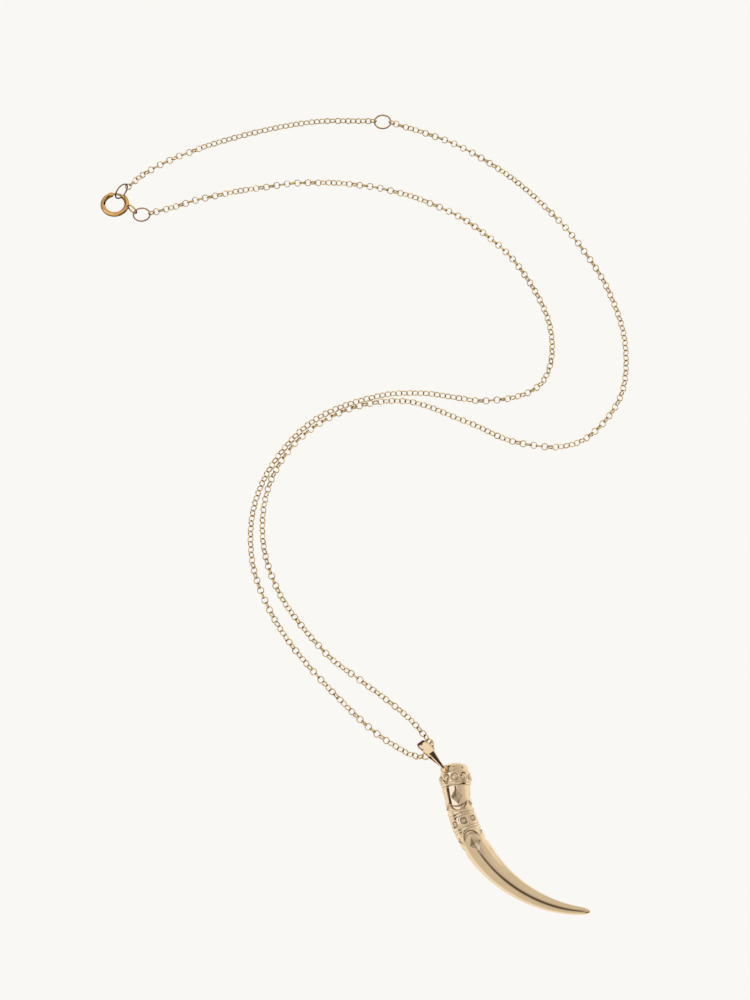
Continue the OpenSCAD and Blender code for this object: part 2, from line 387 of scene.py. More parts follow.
@dataclass
class BelcherChain:
    """The round-link chain, each link a quarter turn from the last.

    Sizes are in millimetres. Where the chain lies twisted, its links alternate between flat and
    upright. Link -1 of each run passes through the run's first ring. The counted tables give
    where some numbered links lie, and the leans how far the links at some distances lean from
    even slants to flat and upright ones, up to 1. The sways say how far the chain strays to its
    left of the curve, one for every sway step.
    """

    finish: Material
    link_d: float = 1.2
    wire: float = 0.15
    band: float = 0.27
    link_steps: int = 12
    wire_steps: int = 6
    crease_angle: float = 35.0
    counted: Table = (
        (-1, 0.0), (12, 11.09), (60, 53.25), (110, 96.4), (160, 141.2), (200, 176.5), (240, 211.9),
        (280, 246.4), (320, 282.2), (360, 317.1), (400, 353.0), (445, 392.4), (446, 393.2))
    end_counted: Table = ((-1, 0.0), (5, 5.11), (43, 39.23), (49, 44.3))
    to_bail: tuple[Values, ...] = (
        (-35.03, 49.565, 0.63), (-26.5, 52.5), (-16.5, 54.5), (-8, 55.5), (2, 54.5), (12.5, 51),
        (20, 46.5), (26.5, 39.5), (31, 29), (29.5, 19), (21, 15.5), (10.2, 16.9), (2.4, 16.4),
        (-7, 12.6), (-13.6, 5.5), (-17, -3), (-17, -12.5), (-13.5, -21.5), (-7.5, -30),
        (0.5, -38.5), (6, -42.4), (8.4, -43.8, 1.05), (10.1, -44.2, 2.0), (10.75, -43.8, 2.2))
    to_adjuster: tuple[Values, ...] = (
        (11.2, -42.4, 1.8), (10.3, -40.8, 0.8), (7, -37), (0, -31.5), (-5.5, -27), (-12.3, -18.1),
        (-15.4, -8.9), (-14.7, 0.6), (-10, 8.7), (-1.9, 14.1), (7.6, 15.5), (17, 12), (25, 8.5),
        (35, 8.5), (42, 16), (43.5, 26), (41, 35.5), (36.5, 43.5), (30.5, 51.5), (23.5, 58),
        (15, 63), (5.256, 66.625))
    to_clasp: tuple[Values, ...] = (
        (2.12, 66.93), (-8, 67), (-17.5, 65), (-28, 61.5), (-35.5, 57.6), (-39.03, 54.28, 1.0))
    bail_turn: Point = (11.0, -43.1, 2.1)
    leans: Table = (
        (0, 1), (0.9, 0.9), (2.5, -0.2), (3.5, -0.7), (7, 0.8), (15.5, -0.9), (24, 0.85),
        (31.5, -0.9), (38.5, 0.8), (45, -0.85), (52, 0.85), (57, 1), (63, 0.85), (70, 0.2),
        (82, -0.1), (87, 0.6), (91, -0.5), (94, 0.45), (98, -0.7), (103.5, 0.85), (112, 0.5),
        (117, 0.6), (130, 0.35), (136, 0.15), (149, 0.35), (154, 0.2), (158, 0.6), (162.5, 1),
        (168, -0.2), (172, -1), (177.5, 0.9), (181.5, -1), (186, 0.4), (189.5, 0.75),
        (195.5, -0.55), (205.5, 0.9), (212, -0.3), (214.6, 0.9), (218.7, -1), (221.6, 0.9),
        (225.7, -1), (231, 1), (240, -0.9), (246, -0.2), (256, 0.2), (264.5, 0.7), (275, 0.3),
        (282, -0.4), (290, -0.55), (296, -0.4), (300.5, -0.95), (307, 0.9), (311.7, -0.8),
        (317, 0.55), (325, 0.45), (334, 0.15), (343, -0.05), (351, -0.4), (357.5, -0.9),
        (365, 0.75), (370, 0.9), (379, -0.7), (383, -0.75), (389.7, 0.8), (391.2, 0.1),
        (392.4, -0.85), (393.2, -1))
    end_leans: Table = (
        (0, 1), (3, 0.9), (7, 1), (11, 0.7), (20, 0.95), (29, 0.9), (31.5, 0), (34.5, -1),
        (38, -0.7), (41.5, 0.75), (43, -0.1), (44.1, -1))
    sways: Values = (
        -0.23, -0.17, -0.1, -0.24, -0.09, 0.16, -0.04, -0.22, -0.06, 0.08, 0.35, 0.15, -0.21,
        -0.05, 0.11, 0.08, 0.06, 0.04, -0.05, 0, 0, 0, 0.17, 0.17, -0.13, 0.12, 0, 0, 0, 0, 0, 0,
        0.05, 0.08, 0.05, -0.02, -0.02, 0.1, -0.27, -0.26, -0.23, 0.03, 0.09, -0.02, -0.09, 0.23,
        0.3, 0.05, -0.02)
    end_sways: Values = (0.11, 0.29, 0.13, 0.07, 0.05, -0.11)
    sway_step: float = 8.0
    sway_links: int = 7
    sway_fade: float = 4.0
    bail_clear: float = 3.2

    def run(
        self, route: Route, counted: Table, sways: Values, leans: Table
    ) -> tuple[Array, Array, Array]:
        """Lays out the links of one run, none of them under the surface.

        Args:
            route: The run's curve.
            counted: Where some of its links lie, as their numbers and distances.
            sways: How far it strays to its left.
            leans: How far its links lean at some distances.

        Returns:
            The links' middles in millimetres, their turns and their distances along the curve.
        """
        numbers, places = np.array(counted).T
        along = np.interp(np.arange(numbers[0], numbers[-1] + 1), numbers, places)
        middles, headings = route.at(along), route.heading(along)
        knots = self.sway_step * (np.arange(len(sways)) + 0.5)
        padded = np.pad(np.interp(along, knots, sways), self.sway_links // 2, mode="edge")
        stray = np.convolve(padded, np.ones(self.sway_links) / self.sway_links, mode="valid")
        from_ends = np.minimum(along, along[-1] - along)
        from_bail = np.linalg.norm(middles - np.array(self.bail_turn), axis=1) - self.bail_clear
        stray = stray * np.clip(np.minimum(from_ends, from_bail) / self.sway_fade, 0.0, 1.0)
        middles[:, 0] -= headings[:, 1] * stray
        middles[:, 1] += headings[:, 0] * stray
        eulers, heights = self.turns(along, headings, leans)
        middles[:, 2] = np.maximum(middles[:, 2], heights)
        return middles, eulers, along

    def turns(self, along: Array, headings: Array, leans: Table) -> tuple[Array, Array]:
        """Turns each link about the chain's own line, from link -1 on.

        Args:
            along: The links' distances along the curve.
            headings: Their headings.
            leans: How far they lean at some distances.

        Returns:
            The links' turns as Euler angles, and their heights over the surface in millimetres.
        """
        twist = np.arcsin(np.clip(np.interp(along, *np.array(leans).T), -1, 1)) / 2
        slant = math.pi / 4
        eulers, heights = [], []
        for number, (heading, extra) in enumerate(zip(headings, twist), start=-1):
            roll = extra + (slant if number % 2 else -slant)
            ahead = Vector(heading)
            side = Vector((heading[1], -heading[0], 0.0)).normalized()
            up = side.cross(ahead)
            across = side * math.cos(roll) + up * math.sin(roll)
            normal = ahead.cross(across)
            eulers.append(tuple(Matrix((ahead, across, normal)).transposed().to_euler()))
            swing = max(abs(math.sin(extra + slant)), abs(math.sin(extra - slant)))
            heights.append(self.wire / 2 + (self.link_d - self.wire) / 2 * swing)
        return np.array(eulers), np.array(heights)

    def link_tree(self) -> NodeTree:
        """Builds the node tree that sets a wire link on every point.

        Returns:
            The tree, with the link's radius, its band's half sizes and its gold as inputs.
        """
        tree = bpy.data.node_groups.new("belcher_links", "GeometryNodeTree")
        face = tree.interface
        for name, kind in (("Geometry", "Geometry"), ("Link radius", "Float"),
                           ("Wire radius", "Float"), ("Band half width", "Float"),
                           ("Gold", "Material")):
            face.new_socket(name, in_out="INPUT", socket_type="NodeSocket" + kind)
        face.new_socket("Geometry", in_out="OUTPUT", socket_type="NodeSocketGeometry")
        w = Wiring(tree)
        given = w.add("NodeGroupInput").outputs
        loop = w.add("GeometryNodeCurvePrimitiveCircle", {
            "Resolution": self.link_steps, "Radius": given["Link radius"],
        })
        wire = w.add("GeometryNodeCurvePrimitiveCircle", {
            "Resolution": self.wire_steps, "Radius": 1.0,
        })
        shift = w.add("GeometryNodeTransform", {
            "Geometry": wire.outputs["Curve"], "Rotation": (0.0, 0.0, math.pi / self.wire_steps),
        })
        flatten = w.add("ShaderNodeCombineXYZ", {
            0: given["Wire radius"], 1: given["Band half width"],
        })
        squeeze = w.add("GeometryNodeTransform", {
            "Geometry": shift.outputs["Geometry"], "Scale": flatten.outputs["Vector"],
        })
        bend = w.add("GeometryNodeCurveToMesh", {
            "Curve": loop.outputs["Curve"], "Profile Curve": squeeze.outputs["Geometry"],
        })
        turn = w.add("GeometryNodeInputNamedAttribute", {"Name": "turn"}, data_type="FLOAT_VECTOR")
        rotation = w.add("FunctionNodeEulerToRotation", {"Euler": turn.outputs["Attribute"]})
        spread = w.add("GeometryNodeInstanceOnPoints", {
            "Points": given["Geometry"], "Instance": bend.outputs["Mesh"],
            "Rotation": rotation.outputs["Rotation"],
        })
        real = w.add("GeometryNodeRealizeInstances", {"Geometry": spread.outputs["Instances"]})
        soft = w.add("GeometryNodeSetShadeSmooth", {"Geometry": real.outputs["Geometry"]})
        dress = w.add("GeometryNodeSetMaterial", {
            "Geometry": soft.outputs["Geometry"], "Material": given["Gold"],
        })
        w.add("NodeGroupOutput", {"Geometry": dress.outputs["Geometry"]})
        return tree

    def lay(self, tree: NodeTree, name: str, middles: Array, eulers: Array) -> Object:
        """Makes one stretch of links as a plain mesh.

        Args:
            tree: The node tree from link_tree.
            name: The piece's name.
            middles: The links' middles in millimetres.
            eulers: The links' turns.

        Returns:
            The stretch.
        """
        seed = bpy.data.meshes.new(name + "_points")
        seed.from_pydata((middles * MM).tolist(), [], [])
        turn = seed.attributes.new("turn", "FLOAT_VECTOR", "POINT")
        turn.data.foreach_set("vector", eulers.ravel())
        holder = show(name, seed)
        modifier = holder.modifiers.new("links", "NODES")
        modifier.node_group = tree
        sizes = {"Link radius": (self.link_d - self.wire) / 2 * MM,
                 "Wire radius": self.wire / 2 * MM, "Band half width": self.band / 2 * MM,
                 "Gold": self.finish}
        for item in tree.interface.items_tree:
            if item.in_out == "INPUT" and item.name in sizes:
                modifier[item.identifier] = sizes[item.name]
        graph = bpy.context.evaluated_depsgraph_get()
        solid = bpy.data.meshes.new_from_object(holder.evaluated_get(graph))
        solid.set_sharp_from_angle(angle=math.radians(self.crease_angle))
        holder.modifiers.clear()
        holder.data = solid
        bpy.data.meshes.remove(seed)
        return holder

    def build(self) -> None:
        """Lays the whole chain."""
        whole = Route(self.to_bail + (self.bail_turn,) + self.to_adjuster)
        middles, eulers, along = self.run(whole, self.counted, self.sways, self.leans)
        from_turn = np.linalg.norm(whole.path - np.array(self.bail_turn), axis=1)
        first = along < whole.along[np.argmin(from_turn)]
        last = Route(self.to_clasp)
        ends = self.run(last, self.end_counted, self.end_sways, self.end_leans)
        stretches = [("inner_links", "chain_inner", middles[first], eulers[first]),
                     ("outer_links", "chain_outer", middles[~first], eulers[~first]),
                     ("end_links", "chain_end", ends[0], ends[1])]
        tree = self.link_tree()
        for name, node, places, turns in stretches:
            piece = self.lay(tree, name, places, turns)
            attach(piece, Body.NECKLACE.value)
            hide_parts(node)
            log.info("%s: %d links", name, len(places))


@dataclass(frozen=True)
class PaintedShading:
    """How far painted shade darkens and dulls the metal in each kind of cut, up to 1, by distances
    in millimetres. It also paints the crest's dark line and the stars' facets.

    The crest's line of painted shade swells between two distances along, by a width. The stars'
    upper-left facets get more painted shade than the rest.
    """

    crest: Plateau = Plateau(14.2, 14.9, 32.3, 33.6)
    crest_width: float = 0.12
    crest_swells: Points = ((16.0, 22.0, 0.09), (28.0, 33.0, -0.1))
    chine: Ridge = Ridge(-0.1, 0.3, 0.12)
    line_share: float = 11.0
    line_width: float = 0.06
    bead_ring: Ridge = Ridge(0.53, 0.6, 0.08)
    dot_ring: Plateau = Plateau(0.22, 0.32, 0.48, 0.56, 0.55)
    dot_middle: Ridge = Ridge(0.0, 0.5, 0.1)
    stem: Ridge = Ridge(0.0, 0.9, 0.1)
    stem_span: Plateau = Plateau(3.75, 3.9, 4.4, 4.7)
    nick: Ridge = Ridge(0.0, 0.95, 0.15)
    crescent: Ridge = Ridge(0.04, 0.75, 0.1)
    crescent_ends: Pair = (0.02, -0.1)
    star_from: float = -0.05
    star_upper_left: float = 0.72
    star_rest: float = 0.36


@dataclass
class Tusk:
    """The cast, curved tusk: cap, bead band, shields with stars, ring-dot band and ridged horn.

    Sizes are in millimetres. Distances run along the middle line from the cap, and angles in
    degrees round from the ornament's front, which is turned about that line. A section is its
    distance, radius and roundness, 2 where it is round and less where it is ridged. The front's
    flats, the lines and the nicks also start with a distance. A star's reach is along, to the
    left and to the right. A crescent is where its tongue ends and where its recess ends, with
    the radii of those two arcs.
    """

    finish: Material
    length: float = 33.8
    straight: float = 3.4
    curve_r: float = 20.4
    front_turn: float = 10.0
    place: Point = (14.55, -45.55, 2.7)
    tilt: Point = (1.7, 4.6, 4.2)
    sides: int = 256
    carved_to: float = 15.5
    carved_step: float = 0.062
    plain_step: float = 0.35
    tip_from: float = 0.6
    tip_rings: Values = (0.5, 0.35, 0.22, 0.12, 0.05, 0.0)
    sections: Points = (
        (0, 1.0, 2), (0.15, 1.44, 2), (0.45, 1.92, 2), (0.8, 2.1, 2), (1.4, 2.18, 2),
        (1.6, 2.36, 2), (3.1, 2.36, 2), (3.5, 2.24, 2), (4, 2.15, 2), (6, 2.04, 2), (8, 2.03, 2),
        (9.3, 2.08, 2), (10.6, 2.06, 2), (12, 2.02, 2), (14.5, 1.96, 1.8), (17, 1.82, 1.62),
        (21.6, 1.48, 1.58), (26, 1.16, 1.58), (29.4, 0.87, 1.58), (31.7, 0.68, 1.6),
        (33.3, 0.48, 1.8), (33.8, 0.26, 2))
    front_flats: Table = ((11, 1), (13, 0.94), (15, 0.82), (18, 0.72), (30, 0.72), (33.5, 0.95))
    beads: int = 10
    bead_at: float = 2.41
    bead_r: float = 0.44
    bead_rise: float = 0.28
    bead_ring: Ridge = Ridge(0.53, -0.1, 0.09)
    bead_band: Plateau = Plateau(1.62, 1.7, 3.02, 3.1)
    shields: int = 4
    star_at: Pair = (5.35, 13.0)
    star_reach: Points = ((1.3, 1.02, 1.0), (1.15, 1.05, 1.2))
    star_power: float = 0.85
    star_depth: float = 0.3
    star_brink: Pair = (0.06, 0.05)
    stem: Ridge = Ridge(0.0, -0.12, 0.09)
    stem_span: Plateau = Plateau(3.75, 3.9, 4.3, 4.6)
    crescents: tuple[Arcs, ...] = (
        (6.8, 7.5, 2.05, 1.5), (11.35, 10.8, 1.4, 1.3))
    crescent_bands: tuple[Plateau, ...] = (
        Plateau(3.7, 3.9, 7.9, 8.2), Plateau(10.3, 10.6, 14.0, 15.0))
    crescent_depth: float = 0.3
    crescent_walls: Pair = (0.1, 0.14)
    lip: Ridge = Ridge(0.08, 0.08, 0.09)
    lip_ends: Pair = (-0.02, 0.1)
    dots: int = 8
    dot_at: float = 9.2
    dot_power: float = 2.4
    dot_rim: Plateau = Plateau(0.46, 0.6, 0.66, 0.82, 0.04)
    dot_ring: Plateau = Plateau(0.22, 0.34, 0.44, 0.56, -0.16)
    dot_middle: Ridge = Ridge(0.0, -0.1, 0.12)
    dot_band: Plateau = Plateau(8.38, 8.45, 9.98, 10.05)
    lines: Table = (
        (1.52, 0.05), (3.2, 0.05), (3.65, 0.06), (7.95, 0.05), (8.35, 0.04), (10.15, 0.05),
        (10.55, 0.045))
    line_width: float = 0.08
    nicks: Table = ((0.9, 27.0), (1.0, -36.0))
    nick: Ridge = Ridge(0.0, -0.1, 0.14)
    crest: Plateau = Plateau(14.0, 14.8, 32.3, 33.5)
    crest_line: float = 2.0
    crest_edge: Ridge = Ridge(-0.2, 0.035, 0.1)
    crest_cut: Ridge = Ridge(0.0, -0.04, 0.1)
    chine_line: float = -62.0
    chine: Ridge = Ridge(0.0, 0.03, 0.14)
    painted_shading: PaintedShading = PaintedShading()
    eye_r: float = 0.48
    eye_wire: float = 0.22
    eye_at: Point = (12.96, -46.74, 4.35)
    eye_turn: Point = (0.0, -12.0, 127.0)
    eye_steps: tuple[int, int] = (48, 16)

    def stations(self) -> Array:
        """Gives the distances of the rings of points."""
        carved = np.arange(0.0, self.carved_to, self.carved_step)
        plain = np.arange(self.carved_to, self.length - self.tip_from, self.plain_step)
        return np.concatenate([carved, plain, self.length - np.array(self.tip_rings)])

    def column(self, s: Array, number: int) -> Array:
        """Reads a column of the section table as a smooth curve.

        Args:
            s: Distances from the cap.
            number: 1 for the radius, 2 for the roundness.

        Returns:
            The values.
        """
        table = np.array(self.sections)
        x, y = table[:, 0], table[:, number]
        slope = np.diff(y) / np.diff(x)
        tangent = np.concatenate([[slope[0]], slope[1:], [slope[-1]]])
        inner, both = slope[1:] * slope[:-1], slope[1:] + slope[:-1]
        tangent[1:-1] = np.where(inner > 0, 2 * inner / np.where(inner > 0, both, 1), 0)
        i = np.clip(np.searchsorted(x, s) - 1, 0, len(x) - 2)
        h = x[i + 1] - x[i]
        u = (s - x[i]) / h
        return ((2 * u ** 3 - 3 * u ** 2 + 1) * y[i] + (u ** 3 - 2 * u ** 2 + u) * h * tangent[i]
                + (3 * u ** 2 - 2 * u ** 3) * y[i + 1] + (u ** 3 - u ** 2) * h * tangent[i + 1])

    @staticmethod
    def beside(a: Array, degrees: float, radius: Array) -> Array:
        """Gives the distances round from a line at an angle."""
        return (a - math.radians(degrees)) * radius

    @staticmethod
    def between(a: Array, repeats: int, radius: Array) -> Array:
        """Gives the distances round from the nearest of a number of even marks."""
        part = 2 * math.pi / repeats
        return (a - part * np.round(a / part)) * radius

    def from_dot(self, s: Array, x: Array) -> Array:
        """Gives the distances from a ring-dot's middle, along a rounded square."""
        total = np.abs(s - self.dot_at) ** self.dot_power + np.abs(x) ** self.dot_power
        return total ** (1 / self.dot_power)

    def star(self, s: Array, x: Array, at: float, reach: Point) -> Array:
        """Gives the height of a star cut with four slanting facets.

        Args:
            s: Distances from the cap.
            x: Distances round from the star's middle, to the left.
            at: The star's distance from the cap.
            reach: Its reach.

        Returns:
            The height, negative.
        """
        half = np.where(x > 0, reach[1], reach[2])
        power, (brink, step) = self.star_power, self.star_brink
        out = (np.abs((s - at) / reach[0]) ** power + np.abs(x / half) ** power) ** (1 / power)
        cut = np.clip(1.0 - out, 0.0, None)
        return -self.star_depth * cut - step * ease(0.0, brink, cut)

    @staticmethod
    def arcs(s: Array, x: Array, shape: Arcs) -> tuple[Array, Array]:
        """Gives the distances outwards from a crescent's two arcs.

        Args:
            s: Distances from the cap.
            x: Distances round from the tongue's middle.
            shape: The crescent.

        Returns:
            The distances from the tongue's arc and from the recess's.
        """
        end, edge, end_r, edge_r = shape
        way = 1.0 if edge > end else -1.0
        return (np.hypot((s - end) * way + end_r, x) - end_r,
                np.hypot((s - edge) * way + edge_r, x) - edge_r)

    def shading_amounts(self, s: Array, a: Array, radius: Array) -> Array:
        """Gives how far painted shade darkens and dulls the metal in the cut places, from 0 to 1.

        Args:
            s: Distances from the cap, as a column.
            a: Angles round from the front, in radians and within half a turn, as a row.
            radius: The plain radius at each distance, as a column.

        Returns:
            The painted shade at each point.
        """
        painted_shading = self.painted_shading
        swell = sum(by * ease(start, end, s) for start, end, by in painted_shading.crest_swells)
        across = self.beside(a, self.crest_line, radius)
        chine = painted_shading.chine.over(self.beside(a, self.chine_line, radius))
        side = self.between(a, self.shields, radius)
        dots = self.from_dot(s, self.between(a, self.dots, radius))
        beads = np.hypot(s - self.bead_at, self.between(a, self.beads, radius))
        # Painted shade: in the cuts, along the crest's dark line and on the stars' upper-left
        # facets.
        layers = [
            painted_shading.crest.over(s) * np.exp(-((across / (painted_shading.crest_width + swell)) ** 2)),
            painted_shading.crest.over(s) * chine,
            painted_shading.bead_ring.over(beads),
            painted_shading.dot_ring.over(dots),
            painted_shading.dot_middle.over(dots),
            painted_shading.stem.over(a * radius) * painted_shading.stem_span.over(s),
        ]
        layers += [Ridge(at, painted_shading.line_share * depth, painted_shading.line_width).over(s)
                   for at, depth in self.lines]
        layers += [painted_shading.nick.over(np.hypot(s - at, self.beside(a, line, radius)))
                   for at, line in self.nicks]
        for shape in self.crescents:
            inner, outer = self.arcs(s, side, shape)
            layers.append(painted_shading.crescent.over(inner) * ease(*painted_shading.crescent_ends, outer))
        for at, reach in zip(self.star_at, self.star_reach):
            facet = np.where((s < at) & (side > 0), painted_shading.star_upper_left, painted_shading.star_rest)
            cut = self.star(s, side, at, reach) < painted_shading.star_from
            layers.append(np.where(cut, facet, 0.0))
        return reduce(np.maximum, layers)

    def carving(self, s: Array, a: Array, radius: Array) -> Array:
        """Gives the height of all that is cut into the tusk or stands on it.

        Args:
            s: Distances from the cap, as a column.
            a: Angles round from the front, in radians and within half a turn, as a row.
            radius: The plain radius at each distance, as a column.

        Returns:
            The height at each point.
        """
        side = self.between(a, self.shields, radius)
        bead = np.hypot(s - self.bead_at, self.between(a, self.beads, radius))
        dome = self.bead_rise * np.sqrt(np.clip(1 - (bead / self.bead_r) ** 2, 0, None))
        dot = self.from_dot(s, self.between(a, self.dots, radius))
        ring_dot = self.dot_rim.over(dot) + self.dot_ring.over(dot) + self.dot_middle.over(dot)
        layers = [Ridge(at, -depth, self.line_width).over(s) for at, depth in self.lines]
        layers += [self.bead_band.over(s) * (dome + self.bead_ring.over(bead)),
                   self.dot_band.over(s) * ring_dot]
        layers += [self.star(s, side, at, reach)
                   for at, reach in zip(self.star_at, self.star_reach)]
        for shape, band in zip(self.crescents, self.crescent_bands):
            inner, outer = self.arcs(s, side, shape)
            inside, outside = self.crescent_walls
            recess = -self.crescent_depth * ease(0.0, inside, inner) * ease(0.0, outside, -outer)
            lip = self.lip.over(outer) * ease(*self.lip_ends, inner)
            layers.append(band.over(s) * (recess + lip))
        layers.append(self.stem_span.over(s) * self.stem.over(a * radius))
        layers += [self.nick.over(np.hypot(s - at, self.beside(a, line, radius)))
                   for at, line in self.nicks]
        across = self.beside(a, self.crest_line, radius)
        chine = self.chine.over(self.beside(a, self.chine_line, radius))
        crest = self.crest_edge.over(across) + self.crest_cut.over(across)
        layers.append(self.crest.over(s) * (crest + chine))
        return sum(layers)

    def surface(self) -> tuple[Array, Array]:
        """Shapes the tusk.

        Returns:
            Its points in its own frame, ring by ring, and how far painted shade darkens the metal
            at each.
        """
        s = self.stations()[:, None]
        a = np.linspace(0, 2 * math.pi, self.sides, endpoint=False)[None, :]
        plain, power = self.column(s, 1), self.column(s, 2)
        ridged = (np.abs(np.cos(a)) ** power + np.abs(np.sin(a)) ** power) ** (-1 / power)
        centred = (a + math.pi) % (2 * math.pi) - math.pi
        r = plain * ridged + self.carving(s, centred, plain)
        bend = np.maximum(s - self.straight, 0) / self.curve_r
        front = a + math.radians(self.front_turn)
        across = r * np.sin(front)
        x = self.curve_r * (1 - np.cos(bend)) - across * np.cos(bend)
        y = -np.minimum(s, self.straight) - (self.curve_r + across) * np.sin(bend)
        flat = np.where(np.cos(front) > 0, np.interp(s, *np.array(self.front_flats).T), 1.0)
        return np.stack([x, y, flat * r * np.cos(front)], -1), self.shading_amounts(s, centred, plain)

    def eye(self) -> tuple[Array, list[list[int]]]:
        """Shapes the small eye soldered on the cap.

        Returns:
            Its points in millimetres, in place, and its faces.
        """
        loops, sides = self.eye_steps
        u = np.linspace(0, 2 * math.pi, loops, endpoint=False)[:, None]
        v = np.linspace(0, 2 * math.pi, sides, endpoint=False)[None, :]
        out = self.eye_r + self.eye_wire / 2 * np.cos(v)
        up = self.eye_wire / 2 * np.sin(v) + 0 * u
        points = np.stack([out * np.cos(u), out * np.sin(u), up], -1)
        return turned(points, self.eye_turn, self.eye_at), grid_faces(loops, sides, closed=True)

    def build(self) -> None:
        """Makes the tusk with its eye."""
        points, dull = self.surface()
        placed = turned(points, self.tilt, self.place)
        eye_points, eye_faces = self.eye()
        faces = [face[::-1] for face in grid_faces(len(points), self.sides)]
        faces += [[corner + len(placed) for corner in face] for face in eye_faces]
        mesh = make_mesh("tusk_and_eye", np.vstack([placed, eye_points]) * MM, faces)
        painted_shade = np.concatenate([dull.ravel(), np.zeros(len(eye_points))])
        dress_carved(mesh, painted_shade, self.finish)
        piece = show("carved_tusk", mesh)
        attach(piece, Body.NECKLACE.value)
        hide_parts("tusk")
        log.info("carved_tusk: %d faces", len(mesh.polygons))


@dataclass
class Bail:
    """The tapered loop on the eye, with a creased front and bevelled edges.

    Sizes are in millimetres. The section's corners go round it from the left, as shares of the
    half width and of the wall. A shade is how far before the rolled end a painted reflection of
    the studio's dark starts on the metal and is full. The right bevel and the rolled end get
    painted dark reflection too.
    """

    finish: Material
    length: float = 7.3
    height: float = 2.3
    wall: float = 0.3
    foot_wall: float = 0.18
    foot_share: float = 0.25
    crease: float = 0.43
    roll_r: float = 0.5
    fall: float = 13.0
    steps: tuple[int, int, int] = (14, 26, 16)
    widths: Table = (
        (0.0, 0.34), (0.2, 0.62), (0.43, 1.1), (0.58, 1.47), (0.74, 1.65), (0.87, 1.56),
        (0.95, 1.42), (1.0, 1.28))
    back: Points = (
        (6.3, -0.8, 0), (5.2, -1.0, 0), (4.0, -1.1, 0), (2.8, -1.0, 0), (1.5, -0.68, 0),
        (0.4, -0.24, 0), (0.0, 0.0, 0))
    back_narrow: float = 0.38
    section: Table = (
        (-1, 0.9), (-1, 0.55), (-0.66, 0.0), (-0.3, 0.0), (0.0, 0.0), (0.3, 0.0), (0.72, 0.0),
        (1, 0.5), (1, 0.9), (0.9, 1.0), (-0.9, 1.0))
    edge_from: float = 0.8
    front_shade: Pair = (0.62, 0.42)
    edge_shade: Pair = (1.9, 1.3)
    roll_shade: Pair = (1.25, 1.05)
    edge_shade_share: float = 0.95
    right_shade: Pair = (0.35, 0.6)
    crease_angle: float = 24.0
    place: Point = (12.92, -46.72, 4.71)
    turn: Point = (0.0, 31.0, 125.0)

    def outline(self) -> tuple[Array, Array, Array]:
        """Draws the loop in its own plane, from the foot over the front and back underneath.

        Returns:
            Its outer points along and up, each point's share of the full width, and how far
            painted dark reflection darkens and dulls the metal in the middle, at the right edge
            and at the left edge.
        """
        up_steps, down_steps, roll_steps = self.steps
        half, fall = self.height / 2, math.radians(self.fall)
        crease = np.array([self.crease * self.length, half])
        end_x = self.length - self.roll_r * (1 - math.sin(fall))
        end = np.array([end_x, half - math.tan(fall) * (end_x - crease[0])])
        rise = crease * np.linspace(0, 1, up_steps)[:, None]
        drop = crease + (end - crease) * np.linspace(0, 1, down_steps)[1:, None]
        centre = end - self.roll_r * np.array([math.sin(fall), math.cos(fall)])
        turn = np.linspace(math.pi / 2 - fall, -math.pi / 2, roll_steps)[1:]
        roll = centre + self.roll_r * np.stack([np.cos(turn), np.sin(turn)], -1)
        under = Route(((*roll[-1], 0.0), *self.back), fine=5).path[1:-1, :2]
        line = np.vstack([rise, drop, roll, under])
        waist = np.sin(np.pi * np.linspace(0, 1, len(under) + 2)[1:-1]) ** 0.5
        full = np.ones(len(line) - len(under))
        narrow = np.concatenate([full, 1 - self.back_narrow * waist])
        left = np.linalg.norm(drop - end, axis=1)
        front, hidden = np.zeros(len(rise)), np.zeros(len(under))
        shade, rolled = ease(*self.front_shade, left), ease(*self.roll_shade, turn)
        base, more = self.right_shade
        # Painted dark reflection: before the rolled end, on the right bevel, along the left edge
        # and round the roll.
        dull = [np.concatenate([near, far, rolled, hidden]) for near, far in (
            (front, shade), (front + base, base + more * shade),
            (front, self.edge_shade_share * ease(*self.edge_shade, left)))]
        return line, narrow, np.stack(dull, -1)

    def build(self) -> None:
        """Makes the bail."""
        line, narrow, dull = self.outline()
        ahead = np.roll(line, -1, axis=0) - np.roll(line, 1, axis=0)
        ahead /= np.linalg.norm(ahead, axis=1, keepdims=True)
        inward = np.stack([ahead[:, 1], -ahead[:, 0]], -1)
        share = np.clip(line[:, 0] / self.length, 0, 1)
        wide = np.interp(share, *np.array(self.widths).T) / 2 * narrow
        grown = np.clip(share / self.foot_share, 0, 1)
        thick = self.foot_wall + (self.wall - self.foot_wall) * grown
        sides, depths = np.array(self.section).T
        flat = line[:, None] + inward[:, None] * (depths * thick[:, None])[..., None]
        points = np.stack([flat[..., 0], sides * wide[:, None], flat[..., 1]], -1)
        faces = grid_faces(len(line), len(self.section), closed=True)
        mesh = make_mesh("creased_bail", turned(points, self.turn, self.place) * MM, faces)
        mesh.set_sharp_from_angle(angle=math.radians(self.crease_angle))
        part = np.select([sides < -self.edge_from, sides > self.edge_from], [1, 2], 0)
        dress_carved(mesh, dull[:, part].ravel(), self.finish)
        piece = show("creased_bail", mesh)
        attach(piece, Body.NECKLACE.value)
        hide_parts("bail")
        log.info("creased_bail: %d faces", len(mesh.polygons))


@dataclass
class Fittings:
    """The plain rings, the bolt ring's case and its bolt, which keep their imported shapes."""

    ring: Material
    case: Material
    bolt: Material

    def dress(self) -> None:
        """Gives each fitting its gold."""
        golds = {"adjuster_ring": self.ring, "joining_ring": self.ring, "end_ring": self.ring,
                 "clasp_case": self.case, "clasp_bolt": self.bolt}
        for name, gold in golds.items():
            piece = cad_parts[name]
            piece.data.materials.clear()
            piece.data.materials.append(gold)
            log.info("%s: dressed in %s", name, gold.name)


